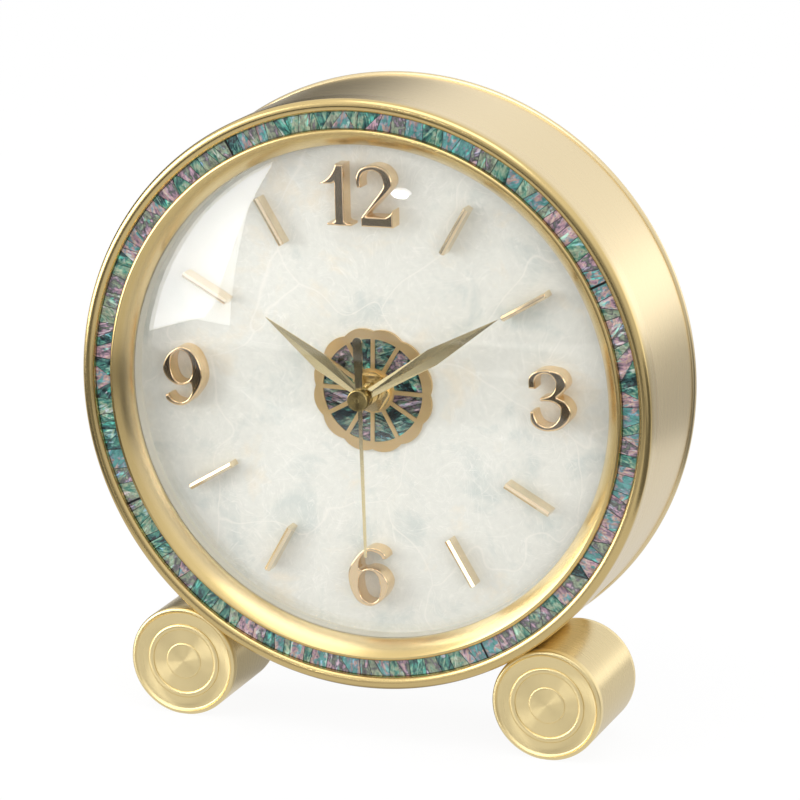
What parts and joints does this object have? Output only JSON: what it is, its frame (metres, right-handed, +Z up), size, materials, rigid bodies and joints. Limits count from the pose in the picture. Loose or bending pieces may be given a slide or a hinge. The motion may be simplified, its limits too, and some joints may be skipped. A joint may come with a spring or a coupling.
{
  "type": "table clock",
  "caption": "Round drum table clock on two cylindrical feet, with a shell-inlaid bezel, a domed lens, raised hour marks and a quartz movement that turns three hands.",
  "frame": {"origin": "centre of the footprint, on the table: halfway between the feet, halfway through the depth, at the height of the flats that the feet stand on", "axes": "+X to the right as seen from the front, +Y from the front to the back, +Z up; the drum's axis runs along Y"},
  "size_m": [0.1812, 0.0526, 0.1964],
  "materials": {
    "drum_brass": "satin, pale lacquered",
    "bezel_brass": "polished and turned",
    "satin_brass": "satin",
    "foot_brass": "brushed lengthwise",
    "cap_brass": "turned satin",
    "rose_brass": "mirror polished",
    "rosette_brass": "satin",
    "hand_brass": "polished",
    "needle_brass": "polished",
    "washer_brass": "satin",
    "nut_brass": "plain",
    "dark_shell": "polished iridescent shell strips",
    "white_shell": "polished pale shell veneer",
    "clear_glass": "clear",
    "black_rubber": "matt",
    "clear_rubber": "satin",
    "board": "plain fibreboard",
    "black_plastic": "fine grained",
    "wheel_plastic": "moulded",
    "magnet": "sintered",
    "core_iron": "stamped sheet",
    "copper": "enamelled copper wire",
    "circuit_green": "lacquered board",
    "spring_steel": "nickel plated",
    "cell_can": "plain dark sleeve",
    "cover_black": "satin black",
    "screw_steel": "plated"
  },
  "bodies": {
    "clock_case": {"case_drum": "drum_brass", "bezel": "bezel_brass", "shell_inlay": "dark_shell", "lens": "clear_glass", "lens_gasket": "clear_rubber", "rehaut": "satin_brass", "dial_board": "board", "dial_veneer": "white_shell", "numeral_12": "rose_brass", "numeral_3": "rose_brass", "numeral_6": "rose_brass", "numeral_9": "rose_brass", "hour_bars": "rose_brass", "rosette": "rosette_brass", "rosette_shell": "dark_shell", "dial_washer": "washer_brass", "dial_nut": "nut_brass", "rubber_washer": "black_rubber", "movement_case": "black_plastic", "movement_back": "black_plastic", "threaded_bush": "nut_brass", "stator": "core_iron", "coil_core": "core_iron", "coil_bobbin": "wheel_plastic", "coil_winding": "copper", "circuit_board": "circuit_green", "quartz_crystal": "spring_steel", "battery_plus_contact": "spring_steel", "battery_minus_contact": "spring_steel", "rear_cover": "cover_black", "cover_screws": "screw_steel", "cover_brackets": "satin_brass", "foot_tube_left": "foot_brass", "foot_tube_right": "foot_brass", "foot_front_caps": "cap_brass", "foot_rear_caps": "cap_brass", "foot_screws": "screw_steel", "foot_nut_bars": "spring_steel"},
    "seconds_arbor": {"second_hand": "needle_brass", "second_cap": "needle_brass", "seconds_wheel": "wheel_plastic"},
    "minute_arbor": {"minute_hand": "hand_brass", "cannon_pinion": "wheel_plastic"},
    "hour_arbor": {"hour_hand": "hand_brass", "hour_wheel": "wheel_plastic"},
    "minute_wheel_body": {"minute_wheel": "wheel_plastic"},
    "setting_knob_body": {"setting_knob": "black_plastic"},
    "centre_wheel_body": {"centre_wheel": "wheel_plastic"},
    "third_wheel_body": {"third_wheel": "wheel_plastic"},
    "intermediate_wheel_body": {"intermediate_wheel": "wheel_plastic"},
    "rotor_body": {"rotor": "magnet"},
    "battery_body": {"battery": "cell_can"}
  },
  "joints": [
    {"name": "second_hand_turn", "type": "hinge", "parent": "clock_case", "child": "seconds_arbor", "pos_m": [0, 0, 0.10584], "axis": [0, 1, 0], "continuous": true},
    {"name": "minute_hand_turn", "type": "hinge", "parent": "clock_case", "child": "minute_arbor", "pos_m": [0, 0, 0.10584], "axis": [0, 1, 0], "continuous": true},
    {"name": "hour_hand_turn", "type": "hinge", "parent": "clock_case", "child": "hour_arbor", "pos_m": [0, 0, 0.10584], "axis": [0, 1, 0], "continuous": true},
    {"name": "minute_wheel_turn", "type": "hinge", "parent": "clock_case", "child": "minute_wheel_body", "pos_m": [-0.00693, 0, 0.10984], "axis": [0, 1, 0], "continuous": true},
    {"name": "setting_knob_turn", "type": "hinge", "parent": "clock_case", "child": "setting_knob_body", "pos_m": [-0.01386, 0, 0.11384], "axis": [0, 1, 0], "continuous": true},
    {"name": "centre_wheel_turn", "type": "hinge", "parent": "clock_case", "child": "centre_wheel_body", "pos_m": [0, 0, 0.10584], "axis": [0, 1, 0], "continuous": true},
    {"name": "third_wheel_turn", "type": "hinge", "parent": "clock_case", "child": "third_wheel_body", "pos_m": [0.00897, 0, 0.10506], "axis": [0, 1, 0], "continuous": true},
    {"name": "intermediate_wheel_turn", "type": "hinge", "parent": "clock_case", "child": "intermediate_wheel_body", "pos_m": [0.00233, 0, 0.11454], "axis": [0, 1, 0], "continuous": true},
    {"name": "rotor_turn", "type": "hinge", "parent": "clock_case", "child": "rotor_body", "pos_m": [0.00233, 0, 0.1221], "axis": [0, 1, 0], "continuous": true},
    {"name": "battery_slide", "type": "slide", "parent": "clock_case", "child": "battery_body", "axis": [0, 1, 0], "range_m": [0, 0.03]}
  ],
  "couplings": [
    {"joint": "third_wheel_turn", "follows": "second_hand_turn", "ratio": -0.13333},
    {"joint": "centre_wheel_turn", "follows": "second_hand_turn", "ratio": 0.016667},
    {"joint": "intermediate_wheel_turn", "follows": "second_hand_turn", "ratio": -5},
    {"joint": "rotor_turn", "follows": "second_hand_turn", "ratio": 30},
    {"joint": "minute_wheel_turn", "follows": "minute_hand_turn", "ratio": -0.33333},
    {"joint": "hour_hand_turn", "follows": "minute_hand_turn", "ratio": 0.083333},
    {"joint": "setting_knob_turn", "follows": "minute_hand_turn", "ratio": 1}
  ]
}
